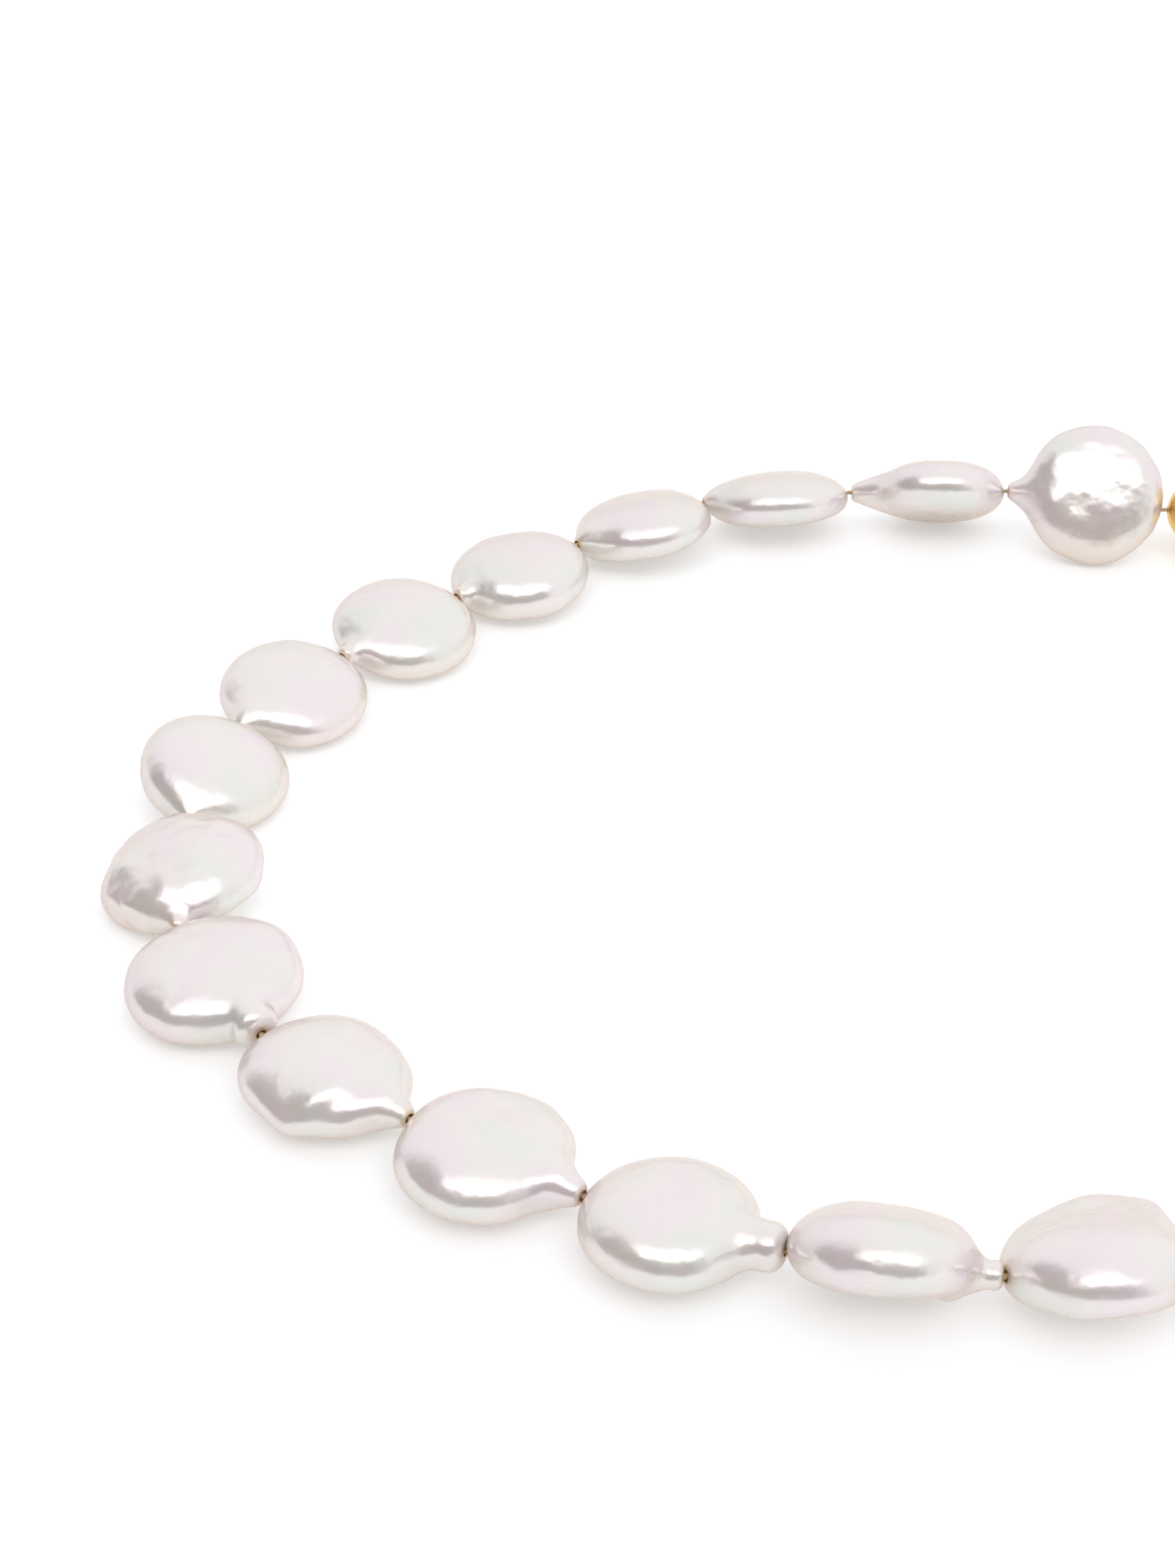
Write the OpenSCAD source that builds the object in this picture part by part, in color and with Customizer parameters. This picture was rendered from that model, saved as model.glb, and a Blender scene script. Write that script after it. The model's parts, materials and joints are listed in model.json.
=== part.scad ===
// Single strand of drilled coin pearls on silk thread, closed by a magnetic ball clasp.
// It lies on a table as a closed loop: the clasp is at the back, the front pearl at the front.
// Both strands follow one plan, mirrored across x = 0, and each pearl has its own size and roll.

/* [Pearls] */
// Diameter of the hole drilled through every pearl
bore_d = 1; // [0.8:0.1:1.1]
// Thickness of a coin pearl at the middle of its faces
coin_t = 5.2; // [4.8:0.1:5.6]
// Radius of a coin pearl's rounded rim
rim_r = 2.1; // [1.8:0.1:2.3]
// How far a coin pearl's crowned faces drop from the middle to the rim
crown_drop = 0.6; // [0.5:0.1:0.8]
// Radius of the nub where the thread leaves the front end of a pearl
nub_r = 0.85; // [0.8:0.05:0.95]
// Diameter of the pearl at the front centre
front_d = 12.2; // [11.4:0.1:12.4]
// Roll of the front pearl about the thread
front_roll = 18; // [0:1:30]

/* [Strand] */
// Bare thread between two neighbouring pearls
pearl_gap = 0.5; // [0.4:0.1:0.6]
// Diameter of the silk thread
thread_d = 0.4; // [0.3:0.05:0.5]
// Length of thread that the front pearl takes up
front_pitch = 14; // [13.8:0.1:14.4]
// Height of the thread at both ends of the front pearl
front_z = 3.6; // [3.2:0.1:4]

/* [Clasp] */
// Diameter of the closed ball
ball_d = 6; // [5.6:0.1:6.2]
// Wall of each half ball
ball_wall = 0.6; // [0.5:0.1:0.7]
// Diameter of the disc magnet in each half ball
magnet_d = 4.4; // [4:0.1:4.4]
// Thickness of each disc magnet
magnet_t = 1.2; // [1:0.1:1.3]
// Clearance between the two magnet faces
face_gap = 0.2; // [0.15:0.05:0.3]
// Diameter of the thread hole in each half ball's pole
pole_hole_d = 0.8; // [0.7:0.1:1]
// Diameter of the knot that holds the thread inside a half ball
knot_d = 1; // [0.9:0.05:1.1]

/* [Hidden] */
// One row for each pearl's place, from the front pearl back to the clasp on the left side:
// length in plan, heading in degrees, and height of the thread at the pearl's back end.
plan = [
    [13.6, 198, 4.2],
    [14.0, 174, 3.6],
    [14.4, 162, 2.9],
    [14.2, 153, 2.8],
    [14.4, 147, 2.8],
    [14.2, 128, 2.8],
    [13.8, 100, 2.9],
    [13.6, 85, 2.9],
    [14.0, 62, 2.8],
    [13.8, 52, 2.9],
    [13.8, 46, 3.2],
    [14.0, 38, 3.6],
    [14.2, 10, 4.2],
    [14.6, 0, 5.2],
    [14.6, -4, 4.6]
];
// One row for each pearl, in the same order: roll about the thread and coin diameter.
left_pearls = [
    [28, 12.2], [36, 12.6], [9, 12.8], [6, 13.0], [5, 12.6],
    [-3, 13.0], [-12, 12.6], [15, 12.4], [9, 12.6], [7, 12.8],
    [-4, 12.8], [-16, 12.8], [-24, 12.6], [-38, 12.6], [48, 12.8]
];
right_pearls = [
    [24, 12.4], [-32, 12.4], [-12, 12.8], [4, 12.6], [-7, 13.0],
    [5, 12.8], [12, 12.6], [-15, 12.4], [6, 12.8], [-8, 12.6],
    [9, 12.8], [14, 12.6], [-24, 12.8], [36, 12.6], [-46, 12.8]
];
places = len(plan);
back_y = -47.5;   // moves the loop so that the origin is under its middle
swell = 1.5;      // radius of a nub's root inside its coin
root_depth = 2.2; // how far a nub's root reaches inside its coin
glue = 0.02;      // film of glue round each magnet
thread_sides = 8;
ring_angles = [for (s = [0 : thread_sides - 1]) s * 360 / thread_sides];
half_gap = pearl_gap / 2;
long = 20;        // longer than any pearl, for a bore's cutter
ball_r = ball_d / 2;

// Plan of the left strand: the points where the thread bends, half way between two pearls.
function bend_point(k) =
    k == 0 ? [-front_pitch / 2, back_y, front_z] : bend_point(k - 1) + [
        plan[k - 1][0] * cos(plan[k - 1][1]),
        plan[k - 1][0] * sin(plan[k - 1][1]),
        plan[k - 1][2] - (k == 1 ? front_z : plan[k - 2][2])
    ];
function mirrored(p, side) = [-side * p[0], p[1], p[2]];
bends = [for (k = [0 : places]) bend_point(k)];
clasp_y = bends[places][1];
clasp_z = bends[places][2];

function unit(v) = v / norm(v);
function yaw_of(v) = atan2(v[1], v[0]);
function pitch_of(v) = asin(v[2] / norm(v));

// Height of a coin's middle when it rests on its lowest point with its faces tilted.
function rest_height(tilt, d) =
    let (ring = d / 2 - rim_r)
    let (crown = (ring * ring + crown_drop * crown_drop) / (2 * crown_drop))
    let (on_rim = ring * sin(tilt) + rim_r)
    let (on_face = crown - (crown - coin_t / 2) * cos(tilt))
    crown * sin(tilt) < ring ? max(on_rim, on_face) : on_rim;

function two_digits(k) = str(k < 10 ? "0" : "", k);
function pearl_name(side, k) = str(side < 0 ? "left" : "right", "_pearl_", two_digits(k));
left_names = [for (k = [1 : places]) pearl_name(-1, k)];
right_names = [for (k = [1 : places]) pearl_name(1, k)];
clasp_names = [
    "left_clasp_shell", "left_clasp_magnet",
    "right_clasp_shell", "right_clasp_magnet"
];

$fn = 64;

// Coin with crowned faces and a round rim, lying flat round the origin.
module coin(d) {
    ring = d / 2 - rim_r;
    crown = (ring * ring + crown_drop * crown_drop) / (2 * crown_drop);
    intersection() {
        translate([0, 0, coin_t / 2 - crown])
            sphere(r = crown);
        translate([0, 0, crown - coin_t / 2])
            sphere(r = crown);
        cylinder(h = coin_t, r = ring, center = true);
    }
    rotate_extrude()
        translate([ring, 0])
            circle(r = rim_r);
}

// Nub with a round tip at the origin, running along +X into a coin whose rim is at x = reach.
module nub(reach) {
    root = reach + root_depth - nub_r;
    translate([nub_r, 0, 0]) {
        sphere(r = nub_r);
        rotate([0, 90, 0])
            cylinder(h = root, r1 = nub_r - 0.05, r2 = swell);
    }
}

// Draws its children along the thread, from point a with +X towards point b.
module along(a, b) {
    translate(a)
        rotate([0, -pitch_of(b - a), yaw_of(b - a)])
            children();
}

// Coin rolled about the thread and set down on the table, its middle above or below the
// point that lies at the given distance along the line from a to b.
module resting_coin(a, b, distance, roll, d) {
    middle = a + distance * unit(b - a);
    tilt = acos(cos(roll) * cos(pitch_of(b - a)));
    translate([middle[0], middle[1], rest_height(tilt, d)])
        rotate([0, -pitch_of(b - a), yaw_of(b - a)])
            rotate([roll, 0, 0])
                coin(d);
}

module thread_bore(a, b) {
    along(a, b)
        rotate([0, 90, 0])
            cylinder(h = 2 * long, d = bore_d, center = true);
}

// Pearl k of a strand: plain at the clasp end, with a nub at the end towards the front.
module strand_pearl(side, k) {
    a = mirrored(bends[k - 1], side);
    b = mirrored(bends[k], side);
    row = side < 0 ? left_pearls[k - 1] : right_pearls[k - 1];
    d = row[1];
    pitch_length = norm(b - a);
    color(k % 3 == 0 ? "#F3ECE4" : k % 3 == 1 ? "#F1EAEC" : "#EFEDEA")
        difference() {
            union() {
                resting_coin(a, b, pitch_length - half_gap - d / 2, row[0], d);
                along(a, b)
                    translate([half_gap, 0, 0])
                        nub(pitch_length - d - 2 * half_gap);
            }
            thread_bore(a, b);
        }
}

module front_pearl() {
    a = bends[0];
    b = mirrored(bends[0], 1);
    reach = (front_pitch - front_d) / 2 - half_gap;
    color("#F4EEEA")
        difference() {
            union() {
                resting_coin(a, b, front_pitch / 2, front_roll, front_d);
                along(a, b)
                    translate([half_gap, 0, 0])
                        nub(reach);
                along(b, a)
                    translate([half_gap, 0, 0])
                        nub(reach);
            }
            thread_bore(a, b);
        }
}

// Rings of the thread: [centre, radius], from the left knot round the loop to the right knot.
// A knot is a swelling of the thread itself, as wide as the knot at its middle.
knot_x = face_gap / 2 + ball_r - ball_wall - knot_d / 2 - 0.05;
knot_shape = [[-0.4, 0.3], [-0.25, 0.85], [0, 1], [0.25, 0.85]];
function knot_rings() = [
    for (s = knot_shape) [[-knot_x - s[0] * knot_d, clasp_y, clasp_z], s[1] * knot_d / 2]
];
function gap_rings(k) =
    let (outer = k == places ? [1, 0, 0] : unit(bends[k + 1] - bends[k]))
    let (inner = k == 0 ? [1, 0, 0] : unit(bends[k - 1] - bends[k]))
    [
        [bends[k] + half_gap * outer, thread_d / 2],
        [bends[k] + half_gap * inner, thread_d / 2]
    ];
left_rings = concat(
    knot_rings(),
    [[[-knot_x - knot_d / 2, clasp_y, clasp_z], thread_d / 2]],
    [for (k = [places : -1 : 0]) each gap_rings(k)]
);
rings = concat(left_rings, [
    for (i = [len(left_rings) - 1 : -1 : 0]) [mirrored(left_rings[i][0], 1), left_rings[i][1]]
]);

function ring_heading(i) =
    unit(rings[min(i + 1, len(rings) - 1)][0] - rings[max(i - 1, 0)][0]);
function ring_points(i) =
    let (ahead = ring_heading(i))
    let (across = unit(cross([0, 0, 1], ahead)))
    let (up = cross(ahead, across))
    [for (t = ring_angles) rings[i][0] + rings[i][1] * (cos(t) * across + sin(t) * up)];

module thread() {
    n = thread_sides;
    last = len(rings) - 1;
    skin = [
        for (i = [0 : last - 1])
            for (s = [0 : n - 1])
                [i * n + s, (i + 1) * n + s, (i + 1) * n + (s + 1) % n, i * n + (s + 1) % n]
    ];
    ends = [[for (s = [0 : n - 1]) s], [for (s = [n - 1 : -1 : 0]) last * n + s]];
    color("#DCC79B")
        polyhedron(
            points = [for (i = [0 : last]) each ring_points(i)],
            faces = concat(skin, ends)
        );
}

// Draws its children at a half ball's mouth, with +X out of the mouth towards the other half.
module at_mouth(side) {
    translate([side * face_gap / 2, clasp_y, clasp_z])
        rotate([0, 0, side < 0 ? 0 : 180])
            children();
}

module clasp_shell(side) {
    color("#DDB45A")
        at_mouth(side)
            difference() {
                intersection() {
                    sphere(r = ball_r);
                    translate([-ball_r, 0, 0])
                        cube([2 * ball_r, 3 * ball_r, 3 * ball_r], center = true);
                }
                intersection() {
                    sphere(r = ball_r - ball_wall);
                    translate([-ball_r - magnet_t, 0, 0])
                        cube([2 * ball_r, 3 * ball_r, 3 * ball_r], center = true);
                }
                rotate([0, -90, 0])
                    translate([0, 0, -1])
                        cylinder(h = magnet_t + 1, d = magnet_d + 2 * glue);
                rotate([0, -90, 0])
                    cylinder(h = 2 * ball_r, d = pole_hole_d);
            }
}

module clasp_magnet(side) {
    color("silver")
        at_mouth(side)
            rotate([0, -90, 0])
                cylinder(h = magnet_t, d = magnet_d);
}

front_pearl();
for (k = [1 : places]) {
    strand_pearl(-1, k);
    strand_pearl(1, k);
}
thread();
clasp_shell(-1);  // left_clasp_shell
clasp_magnet(-1);  // left_clasp_magnet
clasp_shell(1);  // right_clasp_shell
clasp_magnet(1);  // right_clasp_magnet
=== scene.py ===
import json
from math import cos, exp, pi, radians, sin

import bmesh
import bpy
import numpy as np
from mathutils import Matrix, Vector, noise


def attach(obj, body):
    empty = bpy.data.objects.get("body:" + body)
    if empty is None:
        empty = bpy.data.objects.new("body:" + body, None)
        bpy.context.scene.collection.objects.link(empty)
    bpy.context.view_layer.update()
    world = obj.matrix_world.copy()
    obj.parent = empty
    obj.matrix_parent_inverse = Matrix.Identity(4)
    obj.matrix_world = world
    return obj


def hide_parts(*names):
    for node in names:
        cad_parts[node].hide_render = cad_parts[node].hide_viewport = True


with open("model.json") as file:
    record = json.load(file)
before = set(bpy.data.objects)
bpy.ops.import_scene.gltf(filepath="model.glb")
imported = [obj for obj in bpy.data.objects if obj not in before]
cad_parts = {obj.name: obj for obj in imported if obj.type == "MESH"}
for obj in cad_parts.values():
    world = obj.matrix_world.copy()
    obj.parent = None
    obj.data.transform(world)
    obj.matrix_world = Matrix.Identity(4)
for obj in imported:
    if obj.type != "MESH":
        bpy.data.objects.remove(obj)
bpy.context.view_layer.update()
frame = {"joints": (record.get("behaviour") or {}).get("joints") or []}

scene = bpy.context.scene
mm = 0.001
joints = {j["name"]: Vector(j["pos_m"]) / mm for j in frame["joints"]}


# shader maths: a socket that can stand in a Python expression
class Wire:
    def __init__(self, maker, socket):
        self.maker, self.socket = maker, socket

    def math(self, operation, first, second):
        return self.maker.node("ShaderNodeMath", {"operation": operation}, [first, second])

    def output(self, name):
        return Wire(self.maker, self.socket.node.outputs[name])

    def __add__(self, other):
        return self.math("ADD", self, other)

    def __sub__(self, other):
        return self.math("SUBTRACT", self, other)

    def __rsub__(self, other):
        return self.math("SUBTRACT", other, self)

    def __mul__(self, other):
        return self.math("MULTIPLY", self, other)

    def __truediv__(self, other):
        return self.math("DIVIDE", self, other)

    __radd__ = __add__
    __rmul__ = __mul__


class NodeMaker:
    def __init__(self, tree):
        self.tree = tree
        tree.nodes.clear()

    # settings are set first, then each socket gets a value or a link
    def node(self, kind, settings=None, sockets=(), output=0):
        made = self.tree.nodes.new(kind)
        for name, value in (settings or {}).items():
            if name == "stops":
                setStops(made.color_ramp, value)
            else:
                setattr(made, name, value)
        pairs = sockets.items() if isinstance(sockets, dict) else enumerate(sockets)
        for name, value in pairs:
            if isinstance(value, Wire):
                self.tree.links.new(value.socket, made.inputs[name])
            else:
                made.inputs[name].default_value = value
        return Wire(self, made.outputs[output]) if made.outputs else None

    def mixColour(self, factor, first, second, blend="MIX"):
        settings = {"data_type": "RGBA", "blend_type": blend}
        return self.node("ShaderNodeMix", settings, {0: factor, 6: first, 7: second}, 2)

    def noise(self, where, size, detail=2.0, roughness=0.5):
        sockets = {"Vector": where, "Scale": 1 / (size * mm), "Detail": detail, "Roughness": roughness}
        return self.node("ShaderNodeTexNoise", {}, sockets)

    def smooth(self, value, low, high):
        settings = {"interpolation_type": "SMOOTHSTEP"}
        return self.node("ShaderNodeMapRange", settings, [value, low, high, 0.0, 1.0])

    def bump(self, height, strength, reach):
        sockets = {"Height": height, "Strength": strength, "Distance": reach * mm}
        return self.node("ShaderNodeBump", {}, sockets)

    def attribute(self, name):
        return self.node("ShaderNodeAttribute", {"attribute_name": name}, (), "Fac")

    def surface(self, sockets):
        made = self.node("ShaderNodeBsdfPrincipled", {}, sockets)
        self.node("ShaderNodeOutputMaterial", {}, {"Surface": made})


def setStops(ramp, stops):
    while len(ramp.elements) < len(stops):
        ramp.elements.new(1.0)
    for element, (at, colour) in zip(ramp.elements, stops):
        element.position, element.color = at, colour


def rgb(red, green, blue):
    return (red, green, blue, 1.0)


def newMaterial(name):
    made = bpy.data.materials.new(name)
    made.use_nodes = True
    return made, NodeMaker(made.node_tree)


# the nacre skin of the pearls
nacre = {
    "rose": rgb(0.835, 0.78, 0.805),
    "ivory": rgb(0.835, 0.81, 0.775),
    "mint": rgb(0.785, 0.805, 0.775),
    "cloud": rgb(0.84, 0.81, 0.80),
    # painted warm bounce light: the lower part of each pearl is tinted cream
    "painted_bounce_cream": rgb(0.81, 0.69, 0.575),  # along the foot
    "rim": rgb(0.66, 0.50, 0.40),  # tint of the reflection seen along the edge
    # painted golden glow of light through the nacre round the mouths of the drilled hole
    "painted_mouth_glow": rgb(0.80, 0.56, 0.30),  # round the mouths of the drilled hole
    "patch": 5.0,  # size of a patch of one overtone, mm
    "ripple": 0.9,  # size of the fine ripples, mm
    "roughness": 0.25,
    "metal": 0.5,  # how mirror-like the layers are
    "coat": 0.4,
}


def makeNacre():
    material, make = newMaterial("nacre")
    where = make.node("ShaderNodeTexCoord", {}, (), "Object")
    patch = make.noise(where, nacre["patch"], 2.0, 0.45)
    tone = make.node("ShaderNodeValToRGB", {"stops": [
        (0.36, nacre["mint"]), (0.47, nacre["ivory"]), (0.60, nacre["rose"])]}, [patch])
    hole = make.attribute("hole")
    cloud = make.noise(where, 1.4, 3.0)
    tone = make.mixColour(cloud * 0.16, tone, nacre["cloud"])
    # painted warm bounce light: cream mixed in towards the bottom of each pearl
    tone = make.mixColour(make.attribute("foot") * (0.35 + cloud * 0.6), tone, nacre["painted_bounce_cream"])
    # painted golden glow round the mouths of the drilled hole
    tone = make.mixColour(hole * (0.25 + cloud * 0.4), tone, nacre["painted_mouth_glow"])
    fine = make.noise(where, nacre["ripple"], 1.0, 0.45)
    grain = make.noise(where, 0.16, 2.0)
    roughness = nacre["roughness"] + (make.noise(where, 2.2, 2.0) - 0.5) * 0.12 + (grain - 0.5) * 0.03
    make.surface({
        "Base Color": tone,
        "Roughness": roughness,
        "Metallic": nacre["metal"],
        "Specular Tint": nacre["rim"],
        "IOR": 1.5,
        "Coat Weight": nacre["coat"],
        "Coat Roughness": 0.14,
        "Coat IOR": 1.45,
        "Normal": make.bump(fine, 0.9, 0.05),
    })
    return material


# the wall of the drilled hole, where the layers are cut; its golden brown is partly the layers' own colour
# and partly painted glow of light inside the hole
wall = {"dark": rgb(0.50, 0.28, 0.08), "light": rgb(0.86, 0.60, 0.24), "layer": 0.25}


def makeHoleWall():
    material, make = newMaterial("drilled_wall")
    where = make.node("ShaderNodeTexCoord", {}, (), "Object")
    layers = make.noise(where, wall["layer"], 3.0)
    tone = make.mixColour(layers, wall["dark"], wall["light"])
    make.surface({
        "Base Color": tone, "Roughness": 0.45 + layers * 0.2,
        "Normal": make.bump(layers, 0.5, 0.05)})
    return material


# three plies of silk, twisted; overlap is how far each length runs on past its bend, mm
silk = {
    "dark": rgb(0.52, 0.36, 0.16), "light": rgb(0.86, 0.68, 0.40),
    "plies": 3, "ply": 0.105, "twist": 1.9, "overlap": 0.08, "sides": 10,
}


def makeSilk():
    material, make = newMaterial("silk_thread")
    along, around = make.attribute("along"), make.attribute("around")
    lay = make.node("ShaderNodeCombineXYZ", {}, [along * 0.8, around * 9.0, 0.0])
    fibre = make.node("ShaderNodeTexNoise", {}, {"Vector": lay, "Scale": 1.0, "Detail": 3.0})
    tone = make.mixColour(fibre, silk["dark"], silk["light"])
    make.surface({
        "Base Color": tone, "Roughness": 0.42 + fibre * 0.2, "Sheen Weight": 0.3,
        "Normal": make.bump(fibre, 0.6, 0.02)})
    return material


# satin gold and the magnets' plating
def makeMetal(name, light, dark, roughness, scratch):
    material, make = newMaterial(name)
    where = make.node("ShaderNodeTexCoord", {}, (), "Object")
    broad = make.noise(where, 2.5, 2.0)
    fine = make.noise(where, 0.12, 2.0)
    tone = make.mixColour(broad * 0.7 + fine * 0.3, dark, light)
    make.surface({
        "Base Color": tone, "Metallic": 1.0,
        "Roughness": roughness + (broad - 0.5) * 0.10 + (fine - 0.5) * 0.08,
        "Normal": make.bump(fine, scratch, 0.01)})
    return material


materials = {
    "nacre": makeNacre(),
    "wall": makeHoleWall(),
    "silk": makeSilk(),
    "gold": makeMetal("satin_gold", rgb(0.93, 0.66, 0.27), rgb(0.84, 0.55, 0.19), 0.30, 0.25),
    "plating": makeMetal("magnet_plating", rgb(0.74, 0.73, 0.70), rgb(0.62, 0.61, 0.58), 0.22, 0.15),
}
print("materials made:", len(materials))


# the strand: every pearl lies between two bends of the thread
strand = {
    "gap": 0.1,  # bare thread between two pearls, mm
    "boreRadius": 0.42,
    "threadRadius": 0.2,
    "clasp": 0.3,  # from the clasp's pole back to the last bend
}


def bendPoint(side, number):
    if number <= 15:
        return joints[f"{side}_bend_{number:02d}"].copy()
    pole = joints[f"{side}_clasp_turn"]
    return pole + Vector((strand["clasp"] * (1 if pole.x > 0 else -1), 0, 0))


# Every pearl's own shape, in mm. long runs along the thread and wide across it; roll turns the
# outer edge of the loop up. crown domes the upper face, room leaves more bare thread at an end,
# and fillet is how softly the neck runs in. tail is the outline of the neck at the front end: pairs
# of distance from the tip and radius. A fold is a crease or ridge: centre, turn, size, height.
plainPearl = {
    "roll": 0, "long": 12.2, "wide": 12.6, "thick": 5.0, "flat": 4.0, "egg": 0.0, "lean": 0.0,
    "taper": 0.0, "crown": 0.35, "fillet": 1.0, "room": (0, 0),
    "tail": [(0, 0.68), (0.12, 0.84), (0.5, 1.05), (1.1, 1.6), (2.2, 2.3)],
    "wave": 0.16, "dimple": 0.014, "pits": 0.0, "folds": [],
}
stub = [(0, 0.9), (0.15, 1.25), (0.5, 1.62), (1.0, 1.85), (1.6, 1.8), (2.2, 1.65), (2.8, 1.9), (3.6, 2.6)]
twinBead = [(0, 0.75), (0.2, 1.02), (0.65, 1.25), (1.05, 1.12), (1.25, 0.92), (1.45, 1.15),
            (2.0, 1.45), (2.7, 1.6), (3.6, 2.1), (4.6, 2.3)]
smallTwin = [(0, 0.7), (0.14, 0.95), (0.5, 1.12), (0.85, 0.95), (1.0, 0.72), (1.15, 1.0),
             (1.6, 1.4), (2.1, 1.35), (2.8, 1.9), (3.8, 2.6)]
cap = [(0, 0.9), (0.2, 1.35), (0.6, 1.75), (1.1, 1.9), (1.6, 1.65), (2.0, 1.8), (3.0, 2.6)]
beak = [(0, 0.68), (0.12, 0.84), (0.8, 1.2), (1.8, 1.9), (2.8, 2.5), (3.8, 2.6)]
cone = [(0, 0.7), (0.12, 0.88), (0.5, 1.05), (1.2, 1.35), (2.0, 2.1), (2.8, 3.2)]
stem = [(0, 0.65), (0.12, 0.8), (0.6, 0.92), (1.1, 1.0), (1.8, 1.4), (2.8, 1.8)]

pearlShapes = {
    "front_pearl": {"roll": 18, "long": 11.6, "fillet": 0.35, "room": (0.25, 0.25), "wide": 12.2,
                    "tail": cap, "backTail": stem},
    "left_pearl_01": {
        "roll": 26, "long": 12.7, "wide": 12.2, "room": (0.25, 0), "thick": 5.2, "crown": 0.6,
        "tail": beak, "wave": 0.2, "folds": [
            {"at": (0.5, -2.0), "turn": 10, "size": (5.2, 1.3), "high": -0.3},
            {"at": (-2.6, -4.8), "turn": 14, "size": (4.6, 2.4), "high": 1.0},
            {"at": (-6.2, -3.4), "turn": 60, "size": (3.0, 2.6), "high": 1.4}]},
    "left_pearl_02": {"roll": 36, "long": 12.4, "fillet": 0.25, "wide": 12.4, "thick": 5.2, "crown": 0.55,
                      "tail": smallTwin, "folds": [
        {"at": (0.5, 5.6), "turn": 90, "size": (0.9, 1.4), "high": -0.18, "under": True}]},
    "left_pearl_03": {"roll": 9, "long": 12.4, "wide": 12.7, "tail": stub, "wave": 0.14, "fillet": 0.7},
    "left_pearl_04": {"roll": 6, "long": 12.3, "wide": 13.0, "wave": 0.2, "tail": cone, "fillet": 0.6},
    "left_pearl_05": {"roll": 5, "long": 13.1, "wide": 11.6, "flat": 2.8, "wave": 0.16, "taper": 0.14,
                      "tail": cone, "folds": [
        {"at": (-2.6, 3.6), "turn": 76, "size": (2.6, 0.9), "high": 0.4},
        {"at": (-1.2, 5.6), "turn": 90, "size": (1.3, 1.5), "high": 0.55, "under": True}]},
    "left_pearl_06": {"roll": -3, "long": 12.6, "wide": 13.5, "tail": cap, "wave": 0.2, "fillet": 0.45},
    "left_pearl_07": {"roll": -12, "long": 12.9, "wide": 12.8, "thick": 5.2, "flat": 3.2, "crown": 0.9,
                      "tail": stem, "wave": 0.3, "pits": 0.16, "dimple": 0.03, "fillet": 0.4},
    "left_pearl_08": {"roll": 15, "long": 13.0, "taper": 0.1, "wide": 12.2, "wave": 0.08, "lean": 0.3},
    "left_pearl_09": {"roll": 9, "long": 12.9, "wide": 12.4, "flat": 3.2, "lean": 0.3, "wave": 0.14},
    "left_pearl_10": {"roll": 7, "long": 12.6, "wide": 12.8, "flat": 3.2, "tail": smallTwin, "fillet": 0.3,
                      "wave": 0.14, "folds": [
                          {"at": (-1.0, 0.5), "turn": -40, "size": (3.2, 1.0), "high": 0.2}]},
    "left_pearl_11": {"roll": -4, "long": 12.9, "wide": 12.4, "tail": smallTwin, "fillet": 0.3},
    "left_pearl_12": {"roll": -16, "long": 13.3, "wide": 12.6, "flat": 3.0, "wave": 0.14, "taper": 0.12},
    "left_pearl_13": {"roll": -24, "long": 13.3, "wide": 12.2, "room": (0, 0.12), "flat": 2.8, "wave": 0.1},
    "left_pearl_14": {"roll": -38, "long": 12.2, "room": (0.1, 0.05), "wide": 12.6, "thick": 5.2,
                      "flat": 3.2, "wave": 0.1,
                      "tail": [(0, 0.65), (0.12, 0.85), (0.8, 1.1), (1.8, 1.6), (3.0, 2.2), (4.2, 2.6)]},
    "left_pearl_15": {"roll": 52, "long": 13.1, "wide": 13.0, "flat": 3.8, "tail": beak,
                      "wave": 0.2, "pits": 0.06, "dimple": 0.025},
    "right_pearl_01": {"roll": 24, "long": 12.2, "fillet": 0.35, "room": (0.25, 0), "wide": 12.5,
                       "tail": beak, "wave": 0.2},
    "right_pearl_02": {"roll": -32, "long": 12.0, "fillet": 0.35, "wide": 12.4, "tail": stub},
    "right_pearl_03": {"roll": -12, "long": 12.6, "fillet": 0.35, "wide": 12.8, "pits": 0.12, "wave": 0.2},
    "right_pearl_04": {"roll": 4, "long": 12.4, "fillet": 0.35, "wide": 12.6, "tail": cap, "folds": [
        {"at": (-1.6, 3.6), "turn": 75, "size": (2.2, 0.8), "high": 0.45}]},
    "right_pearl_05": {"roll": -7, "long": 13.0, "fillet": 0.35, "wide": 13.0, "wave": 0.22},
    "right_pearl_06": {"roll": 5, "long": 11.8, "fillet": 0.35, "wide": 12.8, "tail": smallTwin},
    "right_pearl_07": {"roll": 12, "long": 12.6, "fillet": 0.35, "wide": 12.6, "flat": 3.2},
    "right_pearl_08": {"roll": -15, "long": 12.6, "fillet": 0.35, "wide": 12.2, "tail": stem, "pits": 0.14},
    "right_pearl_09": {"roll": 6, "long": 13.0, "fillet": 0.35, "wide": 12.8, "wave": 0.1},
    "right_pearl_10": {"roll": -8, "long": 11.8, "fillet": 0.35, "wide": 12.6, "tail": smallTwin},
    "right_pearl_11": {"roll": 9, "long": 13.0, "fillet": 0.35, "wide": 12.9, "flat": 3.0, "egg": 0.05},
    "right_pearl_12": {"roll": 14, "long": 12.6, "fillet": 0.35, "wide": 12.4, "tail": cap, "wave": 0.2},
    "right_pearl_13": {"roll": -24, "long": 12.0, "fillet": 0.35, "room": (0, 0.12), "wide": 12.6,
                       "tail": twinBead},
    "right_pearl_14": {"roll": 36, "long": 12.6, "fillet": 0.35, "room": (0.08, 0.12), "wide": 12.6,
                       "flat": 3.0},
    "right_pearl_15": {"roll": -46, "long": 13.0, "fillet": 0.35, "wide": 12.7, "tail": beak, "pits": 0.1},
}

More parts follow.
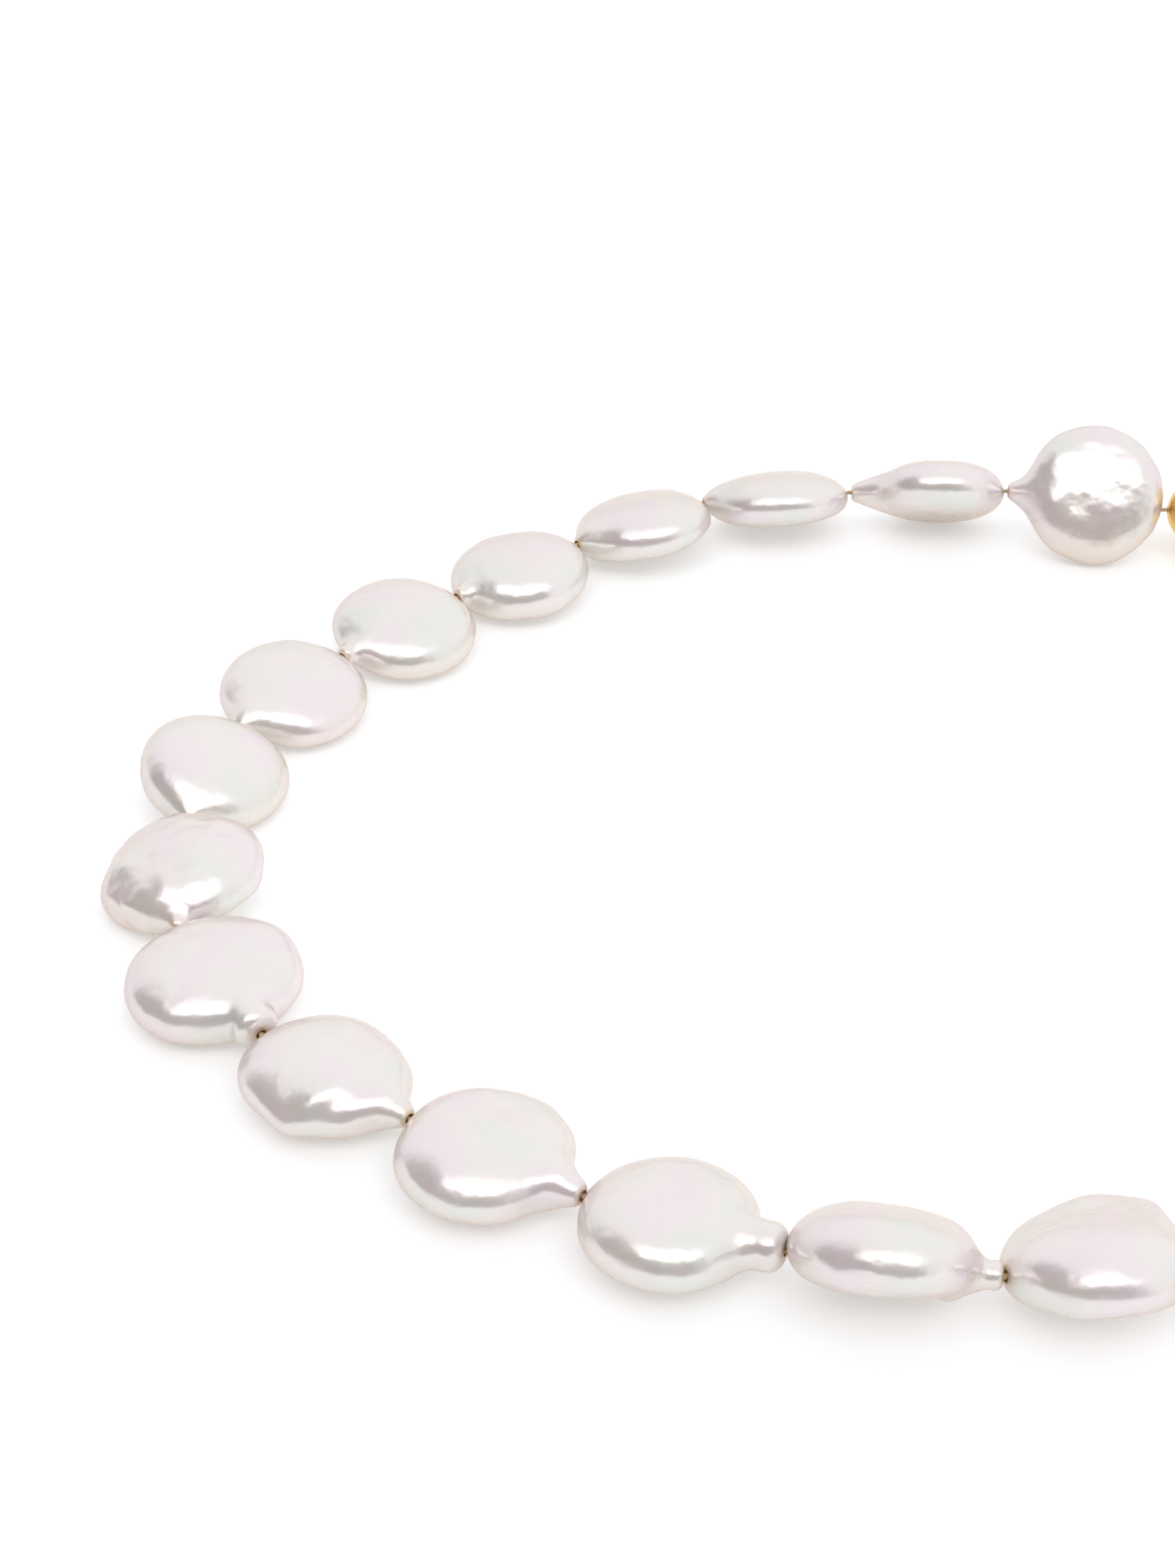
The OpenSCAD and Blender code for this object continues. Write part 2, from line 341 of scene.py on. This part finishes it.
# how a pearl's skin is drawn over its coin and necks, in mm
skin = {
    "voxel": 0.17,
    "rounds": 8,  # of smoothing all over
    "neckRounds": 150,  # of smoothing at a neck, for a fillet of 1
    "neck": 0.4,  # from the coin's edge to the middle of the neck's smoothing
    "neckReach": (1.4, 4.5),  # of that smoothing, along the thread and out from it
    "lift": 0.01,  # of the lowest point off the table
    # painted golden glow: width of the ring round each mouth of the hole
    "mouth": 0.35,  # width of the honey ring at a mouth
    # painted warm bounce light: how much of the height, from the bottom up, is tinted cream
    "foot": 0.62,  # part of the height that turns cream
}


# a frame along the thread: x from start to end, y to the outside of the left loop, z up
def threadFrame(start, end, roll=0.0):
    along = (end - start).normalized()
    across = Vector((0, 0, 1)).cross(along).normalized()
    up = along.cross(across)
    turn = Matrix.Rotation(radians(roll), 3, along)
    across, up = turn @ across, turn @ up
    place = Matrix((along, across, up)).transposed().to_4x4()
    place.translation = start
    return place


# closed surface from rings of points, with a point at each end
def ringSurface(bm, rings, first, last):
    made = [[bm.verts.new(p) for p in ring] for ring in rings]
    ends = bm.verts.new(first), bm.verts.new(last)
    count = len(made[0])
    for i in range(count):
        j = (i + 1) % count
        bm.faces.new((ends[0], made[0][j], made[0][i]))
        bm.faces.new((ends[1], made[-1][i], made[-1][j]))
        for a, b in zip(made, made[1:]):
            bm.faces.new((a[i], a[j], b[j], b[i]))


def coinRings(shape, place):
    rings = []
    steps, around = 40, 96
    for s in range(1, steps):
        t = pi * s / steps
        reach, height = sin(t) ** (2 / shape["flat"]), cos(t) * shape["thick"] / 2
        ring = []
        for k in range(around):
            a = 2 * pi * k / around
            outline = 1 + shape["egg"] * cos(2 * a + 0.6) + 0.5 * shape["egg"] * cos(3 * a)
            x = cos(a) * reach * outline * shape["long"] / 2
            y = sin(a) * reach * outline * shape["wide"] / 2 * (1 + shape["taper"] * cos(a) * reach)
            swell = 1 + shape["lean"] * sin(a) * reach * 0.5
            ring.append(place @ Vector((x, y, height * swell + shape["crown"] * (1 - reach ** 2))))
        rings.append(ring)
    half, crown = shape["thick"] / 2, shape["crown"]
    return rings, place @ Vector((0, 0, crown + half)), place @ Vector((0, 0, crown - half))


def tailRings(tail, place, thick):
    xs, rs = [x for x, r in tail], [r for x, r in tail]
    fair = np.linspace(-0.1, 0.1, 5)
    rings = []
    for x in np.linspace(0, xs[-1], 36):
        radius = float(np.mean(np.interp(x + fair, xs, rs)))
        height = min(radius, thick * 0.4)
        rings.append([place @ Vector((x, radius * cos(a), height * sin(a)))
                      for a in np.linspace(0, 2 * pi, 40, endpoint=False)])
    return rings, place @ Vector((0, 0, 0)), place @ Vector((xs[-1] + 0.3, 0, 0))


def meshObject(name, mesh):
    made = bpy.data.objects.new(name, mesh)
    scene.collection.objects.link(made)
    return made


# modifiers are worked out once and kept as a plain mesh
def applied(obj, name):
    graph = bpy.context.evaluated_depsgraph_get()
    mesh = bpy.data.meshes.new_from_object(obj.evaluated_get(graph), depsgraph=graph)
    mesh.name = name
    old = obj.data
    obj.modifiers.clear()
    obj.data = mesh
    bpy.data.meshes.remove(old)
    return mesh


def readPoints(mesh):
    flat = np.empty(len(mesh.vertices) * 3, np.float32)
    mesh.vertices.foreach_get("co", flat)
    return flat.reshape(-1, 3).astype(float)


def writePoints(mesh, points):
    mesh.vertices.foreach_set("co", np.asarray(points, np.float32).ravel())
    mesh.update()


def readNormals(mesh):
    flat = np.empty(len(mesh.vertices) * 3, np.float32)
    mesh.vertices.foreach_get("normal", flat)
    return flat.reshape(-1, 3).astype(float)


# each point moves towards the middle of its neighbours, by its own weight
def relax(points, edges, weight, rounds):
    near = weight[edges].max(axis=1) > 0.01
    used, small = np.unique(edges[near], return_inverse=True)
    small = small.reshape(-1, 2)
    a, b = np.r_[small[:, 0], small[:, 1]], np.r_[small[:, 1], small[:, 0]]
    part, pull = points[used], weight[used, None]
    count = np.maximum(np.bincount(a, minlength=len(used)), 1)[:, None]
    pull = np.where(pull > 0.01, pull, 0)
    for _ in range(rounds):
        middle = np.stack([np.bincount(a, part[b, k], len(used)) for k in range(3)], axis=1) / count
        part = part + (middle - part) * pull
    points = points.copy()
    points[used] = part
    return points


# height of the growth marks: broad waves, fine dimples, round pits and the pearl's own folds
def growth(shape, points, place, seed):
    offset = Vector((seed * 7.3, seed * 3.1, seed * 5.7))
    local = (np.array(place.inverted()) @ np.c_[points, np.ones(len(points))].T).T[:, :3]
    height = np.empty(len(points))
    for i, p in enumerate(points):
        v = Vector(p) + offset
        h = shape["wave"] * noise.noise(v / 4.2) + 0.35 * shape["wave"] * noise.noise(v / 2.0)
        h += shape["dimple"] * noise.noise(v / 0.9)
        if shape["pits"]:
            cell = noise.voronoi(v / 2.8)[0]
            h -= shape["pits"] * (exp(-(cell[0] / 0.42) ** 2) + 0.4 * noise.noise(v / 1.3))
        height[i] = h
    for fold in shape["folds"]:
        a = radians(fold["turn"])
        dx, dy = local[:, 0] - fold["at"][0], local[:, 1] - fold["at"][1]
        u = (dx * cos(a) + dy * sin(a)) / fold["size"][0]
        v = (-dx * sin(a) + dy * cos(a)) / fold["size"][1]
        side = -local[:, 2] if fold.get("under") else local[:, 2]
        shown = np.clip(side / 1.2 + 0.6, 0, 1)
        height += fold["high"] * np.exp(-u * u - v * v) * shown
    return height


def cutBore(obj, start, end):
    radius = strand["boreRadius"]
    along = (end - start).normalized()
    bm = bmesh.new()
    place = threadFrame(start - along * 2, end)
    length = (end - start).length + 4
    ring = [(radius * cos(a), radius * sin(a)) for a in np.linspace(0, 2 * pi, 28, endpoint=False)]
    ringSurface(bm, [[place @ Vector((x, y, z)) for y, z in ring] for x in (0.0, length)],
                place @ Vector((0, 0, 0)), place @ Vector((length, 0, 0)))
    bmesh.ops.recalc_face_normals(bm, faces=bm.faces)
    mesh = bpy.data.meshes.new("bore")
    bm.to_mesh(mesh)
    bm.free()
    cutter = meshObject("bore", mesh)
    cut = obj.modifiers.new("bore", "BOOLEAN")
    cut.object, cut.operation, cut.solver = cutter, "DIFFERENCE", "MANIFOLD"
    applied(obj, obj.name)
    bpy.data.objects.remove(cutter)
    bpy.data.meshes.remove(mesh)


def distanceFromLine(points, start, end):
    s, d = np.array(start), np.array((end - start).normalized())
    offset = points - s
    along = offset @ d
    return np.linalg.norm(offset - np.outer(along, d), axis=1), along


# the coin and its necks as closed surfaces, then one skin drawn over them
def rawPearl(name, shape, place, first, last):
    rings, top, bottom = coinRings(shape, place)
    lift = Vector((0, 0, -min(p.z for ring in rings for p in ring)))
    place.translation += lift
    bm = bmesh.new()
    ringSurface(bm, [[p + lift for p in ring] for ring in rings], top + lift, bottom + lift)
    ringSurface(bm, *tailRings(shape["tail"], threadFrame(first, last, shape["roll"]), shape["thick"]))
    if "backTail" in shape:
        back = threadFrame(last, first, -shape["roll"])
        ringSurface(bm, *tailRings(shape["backTail"], back, shape["thick"]))
    bmesh.ops.recalc_face_normals(bm, faces=bm.faces)
    mesh = bpy.data.meshes.new(name)
    bm.to_mesh(mesh)
    bm.free()
    pearl = meshObject(name + "_nacre", mesh)
    remesh = pearl.modifiers.new("skin", "REMESH")
    remesh.mode, remesh.voxel_size = "VOXEL", skin["voxel"]
    applied(pearl, name)
    return pearl


# the skin is smoothed all over and again at each neck, and then grows its marks
def growSkin(mesh, shape, place, first, last, seed):
    points = readPoints(mesh)
    edges = np.array([e.vertices[:] for e in mesh.edges])
    points = relax(points, edges, np.full(len(points), 0.5), skin["rounds"])
    neck = (last - first).length - shape["long"] + skin["neck"]
    reachAlong, reachOut = skin["neckReach"]
    necks = [(first, last), (last, first)] if "backTail" in shape else [(first, last)]
    for tip, other in necks:
        away, along = distanceFromLine(points, tip, other)
        near = np.exp(-((along - neck - skin["neck"]) / reachAlong) ** 2)
        weight = 0.6 * near * np.exp(-(away / reachOut) ** 4)
        points = relax(points, edges, weight, round(skin["neckRounds"] * shape["fillet"]))
    writePoints(mesh, points)
    away, along = distanceFromLine(points, first, last)
    calm = 0.3 + 0.7 * np.clip((along - neck) / 1.5, 0, 1)  # less growth on the neck
    points += readNormals(mesh) * (growth(shape, points, place, seed) * calm)[:, None]
    points[:, 2] += skin["lift"] - points[:, 2].min()
    writePoints(mesh, points)


# fields for the nacre's painted golden glow round the mouths and painted warm bounce light towards the
# bottom; faces inside the bore get their own material
def paintPearl(mesh, start, end):
    points = readPoints(mesh)
    away, along = distanceFromLine(points, start, end)
    low, high = points[:, 2].min(), points[:, 2].max()
    fields = {
        # painted golden glow near the mouths of the hole
        "hole": np.exp(-((away - strand["boreRadius"]) / skin["mouth"]) ** 2),
        # painted warm bounce light, strongest at the bottom and fading upwards
        "foot": np.clip(1 - (points[:, 2] - low) / (skin["foot"] * (high - low)), 0, 1),
    }
    for key, values in fields.items():
        field = mesh.attributes.new(key, "FLOAT", "POINT")
        field.data.foreach_set("value", values.astype(np.float32))
    inside = away < strand["boreRadius"] * 1.03
    mesh.materials.clear()
    mesh.materials.append(materials["nacre"])
    mesh.materials.append(materials["wall"])
    for face in mesh.polygons:
        face.use_smooth = True
        face.material_index = int(all(inside[v] for v in face.vertices))
    mesh.set_sharp_from_angle(angle=radians(50))


def makePearl(name, start, end, seed):
    shape = {**plainPearl, **pearlShapes[name]}
    along = (end - start).normalized()
    first = start + along * (strand["gap"] / 2 + shape["room"][0])
    last = end - along * (strand["gap"] / 2 + shape["room"][1])
    middle = (first + last) / 2
    if "backTail" not in shape:  # the coin's own edge reaches the back end
        middle = last - Vector((along.x, along.y, 0)).normalized() * shape["long"] / 2
    place = threadFrame(middle, middle + (end - start), shape["roll"])
    pearl = rawPearl(name, shape, place, first, last)
    growSkin(pearl.data, shape, place, first, last, seed)
    cutBore(pearl, start, end)
    paintPearl(pearl.data, start, end)
    pearl.data.transform(Matrix.Scale(mm, 4))
    return pearl


# the plies between two points, with a round end at each
def plyMesh(bm, start, end, fields):
    place = threadFrame(start, end)
    length = (end - start).length
    steps = max(6, int(length / 0.16))
    lean = strand["threadRadius"] - silk["ply"]
    for ply in range(silk["plies"]):
        rings = []
        for s in range(steps + 1):
            x = length * s / steps
            turn = 2 * pi * (x / silk["twist"] + ply / silk["plies"])
            ring = []
            for k in range(silk["sides"]):
                a = 2 * pi * k / silk["sides"]
                out = lean + silk["ply"] * cos(a)
                side = silk["ply"] * sin(a)
                y = out * cos(turn) - side * sin(turn)
                z = out * sin(turn) + side * cos(turn)
                ring.append(place @ Vector((x, y, z)))
                fields["along"].append(x)
                fields["around"].append(k / silk["sides"])
            rings.append(ring)
        turnFirst, turnLast = 2 * pi * ply / silk["plies"], turn
        first = place @ Vector((-0.05, lean * cos(turnFirst), lean * sin(turnFirst)))
        last = place @ Vector((length + 0.05, lean * cos(turnLast), lean * sin(turnLast)))
        ringSurface(bm, rings, first, last)
        fields["along"] += [0.0, length]
        fields["around"] += [0.0, 0.0]


def makeThread(name, start, end):
    bm = bmesh.new()
    fields = {"along": [], "around": []}
    along = (end - start).normalized() * silk["overlap"]
    plyMesh(bm, start - along, end + along, fields)
    bmesh.ops.recalc_face_normals(bm, faces=bm.faces)
    return threadPiece(name, bm, fields)


def threadPiece(name, bm, fields):
    mesh = bpy.data.meshes.new(name)
    bm.to_mesh(mesh)
    bm.free()
    for key, values in fields.items():
        field = mesh.attributes.new(key, "FLOAT", "POINT")
        field.data.foreach_set("value", np.array(values, np.float32))
    mesh.shade_smooth()
    mesh.materials.append(materials["silk"])
    mesh.transform(Matrix.Scale(mm, 4))
    return meshObject(name, mesh)


def placePearl(name, start, end, seed):
    pearl = makePearl(name, start, end, seed)
    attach(pearl, name)
    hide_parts(name)
    piece = makeThread(name + "_thread", start, end)
    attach(piece, name)
    return piece


threads = [placePearl("front_pearl", bendPoint("right", 1), bendPoint("left", 1), 1)]
for sideNumber, side in enumerate(("left", "right")):
    for number in range(1, 16):
        name = f"{side}_pearl_{number:02d}"
        seed = 2 + number + 15 * sideNumber
        threads.append(placePearl(name, bendPoint(side, number), bendPoint(side, number + 1), seed))


# the clasp: two hollow half balls, each turned from one outline, with a disc magnet inside
clasp = {
    "ball": 3.0, "wall": 0.6, "magnet": 2.2, "magnetThick": 1.2, "segments": 96,
    "gap": 0.04,  # from the middle of the ball to each half
    "pole": 82.5,  # degrees from the mouth to the edge of the thread hole
    "knot": 1.95,  # from the middle of the ball to the end knot
}


def turned(name, outline, centre, direction, material):
    bm = bmesh.new()
    rows = []
    for x, r in outline:
        rows.append([bm.verts.new(centre + Vector((direction * x, r * cos(a), r * sin(a))))
                     for a in np.linspace(0, 2 * pi, clasp["segments"], endpoint=False)])
    for a, b in zip(rows, rows[1:] + rows[:1]):
        for i in range(len(a)):
            j = (i + 1) % len(a)
            bm.faces.new((a[i], a[j], b[j], b[i]))
    bmesh.ops.recalc_face_normals(bm, faces=bm.faces)
    mesh = bpy.data.meshes.new(name)
    bm.to_mesh(mesh)
    bm.free()
    mesh.shade_smooth()
    mesh.set_sharp_from_angle(angle=radians(35))
    mesh.materials.append(material)
    mesh.transform(Matrix.Scale(mm, 4))
    return meshObject(name, mesh)


def arc(radius, fromAngle, toAngle, steps, shift=0.0):
    return [(shift + radius * sin(a), radius * cos(a))
            for a in np.linspace(radians(fromAngle), radians(toAngle), steps)]


# an end knot: one strand of thread drawn up in three loops
knot = {"size": 0.17, "thread": 0.16, "steps": 150, "sides": 10}


def makeKnot(name, centre):
    bm = bmesh.new()
    loop = []
    for t in np.linspace(0, 2 * pi, knot["steps"], endpoint=False):
        curl = Vector((sin(3 * t), sin(t) + 2 * sin(2 * t), cos(t) - 2 * cos(2 * t)))
        loop.append(centre + knot["size"] * curl)
    rings, fields, sides = [], {"along": [], "around": []}, knot["sides"]
    for i, point in enumerate(loop):
        ahead = (loop[(i + 1) % len(loop)] - loop[i - 1]).normalized()
        out = (point - centre).cross(ahead).normalized()
        side = ahead.cross(out)
        angles = np.linspace(0, 2 * pi, sides, endpoint=False)
        spokes = [out * cos(a) + side * sin(a) for a in angles]
        rings.append([bm.verts.new(point + knot["thread"] * spoke) for spoke in spokes])
        fields["along"] += [i * 0.05] * sides
        fields["around"] += [k / sides for k in range(sides)]
    for a, b in zip(rings, rings[1:] + rings[:1]):
        for i in range(sides):
            j = (i + 1) % sides
            bm.faces.new((a[i], a[j], b[j], b[i]))
    bmesh.ops.recalc_face_normals(bm, faces=bm.faces)
    return threadPiece(name, bm, fields)


def makeClaspHalf(side, direction):
    pole = joints[f"{side}_clasp_turn"]
    centre = Vector((0, pole.y, pole.z))
    outer, inner, gap = clasp["ball"], clasp["ball"] - clasp["wall"], clasp["gap"]
    outline = [(gap, inner), (gap, outer - 0.08), (gap + 0.03, outer - 0.02)]
    outline += arc(outer, 2, clasp["pole"] - 1.5, 40, gap)
    outline += arc(outer - 0.05, clasp["pole"], clasp["pole"], 1, gap)
    outline += arc(inner, clasp["pole"] - 1, 2, 24, gap)
    shell = turned(f"{side}_clasp_ball", outline, centre, direction, materials["gold"])
    radius, thick = clasp["magnet"], clasp["magnetThick"]
    disc = [(gap, 0.05), (gap, radius - 0.12), (gap + 0.04, radius - 0.04), (gap + 0.12, radius),
            (gap + thick - 0.12, radius), (gap + thick - 0.04, radius - 0.04),
            (gap + thick, radius - 0.12), (gap + thick, 0.05)]
    magnet = turned(f"{side}_clasp_disc", disc, centre, direction, materials["plating"])
    body = f"{side}_clasp_half"
    for piece, node, slotName in ((shell, "shell", "clasp_gold"), (magnet, "magnet", "magnet_plating")):
        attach(piece, body)
        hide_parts(f"{side}_clasp_{node}")
    tied = centre + Vector((direction * clasp["knot"], 0, 0))
    lead = makeThread(f"{side}_knot_thread", bendPoint(side, 16), tied)
    for piece in (lead, makeKnot(f"{side}_end_knot", tied)):
        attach(piece, body)


makeClaspHalf("left", -1)
makeClaspHalf("right", 1)
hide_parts("thread")
print("clasp made")


# the table, the light and the camera
table = {"size": 6.0, "white": rgb(0.78, 0.79, 0.795), "glow": rgb(0.975, 0.995, 1), "glowStrength": 0.3}


def makeTable():
    mesh = bpy.data.meshes.new("table")
    half = table["size"] / 2
    corners = [(-half, -half, 0), (half, -half, 0), (half, half, 0), (-half, half, 0)]
    mesh.from_pydata(corners, [], [(0, 1, 2, 3)])
    made = meshObject("table", mesh)
    material, make = newMaterial("white_table")
    make.surface({
        "Base Color": table["white"], "Roughness": 0.9, "Specular IOR Level": 0.1,
        "Emission Color": table["glow"], "Emission Strength": table["glowStrength"]})
    mesh.materials.append(material)


makeTable()

# light from all round: pale walls, a dark room to the front left, and a bright soft panel overhead,
# whose left, right, near and far edges each have a place and a softness
light = {
    "wall": rgb(1.02, 1.01, 1.025), "front": rgb(0.24, 0.18, 0.165), "panel": rgb(3.3, 3.3, 3.35),
    "left": (-0.66, 0.36), "right": (0.85, 0.5), "near": (-0.95, 0.17), "far": (-0.38, 0.36),
}


def makeLight():
    world = bpy.data.worlds.new("studio")
    scene.world = world
    world.use_nodes = True
    make = NodeMaker(world.node_tree)
    direction = make.node("ShaderNodeTexCoord", {}, (), "Generated")
    split = make.node("ShaderNodeSeparateXYZ", {}, [direction])
    x, y, z = (split.output(axis) for axis in "XYZ")
    up = make.node("ShaderNodeMath", {"operation": "MAXIMUM"}, [z, 0.02])

    def beyond(value, edge):  # 0 before an edge of the panel, 1 past it
        at, soft = light[edge]
        return make.smooth(value, at - soft, at + soft)

    panel = beyond(x / up, "left") * (1 - beyond(x / up, "right")) * make.smooth(z, 0.1, 0.3)
    panel = panel * beyond(y / up, "near") * (1 - beyond(y / up, "far"))
    toFront = make.smooth(0 - y * 0.9 - x * 0.45, -0.1, 0.4) * (1 - make.smooth(z, 0.75, 0.9))
    colour = make.mixColour(toFront, light["wall"], light["front"])
    colour = make.mixColour(panel, colour, light["panel"])
    background = make.node("ShaderNodeBackground", {}, {"Color": colour, "Strength": 1.0})
    make.node("ShaderNodeOutputWorld", {}, {"Surface": background})


makeLight()

camera = {"lens": 63.5, "tilt": 34.75, "turn": 6.0, "distance": 0.2292, "aim": Vector((-0.0528, 0.0064, 0))}


def makeCamera():
    data = bpy.data.cameras.new("camera")
    data.lens, data.sensor_width = camera["lens"], 36
    data.clip_start, data.clip_end = 0.01, 20
    made = bpy.data.objects.new("camera", data)
    scene.collection.objects.link(made)
    tilt, turn = radians(camera["tilt"]), radians(camera["turn"])
    forward = Vector((-sin(turn) * cos(tilt), cos(turn) * cos(tilt), -sin(tilt)))
    made.location = camera["aim"] - forward * camera["distance"]
    made.rotation_euler = forward.to_track_quat("-Z", "Y").to_euler()
    scene.camera = made


makeCamera()
scene.view_settings.view_transform = "Standard"
print("table, light and camera set")
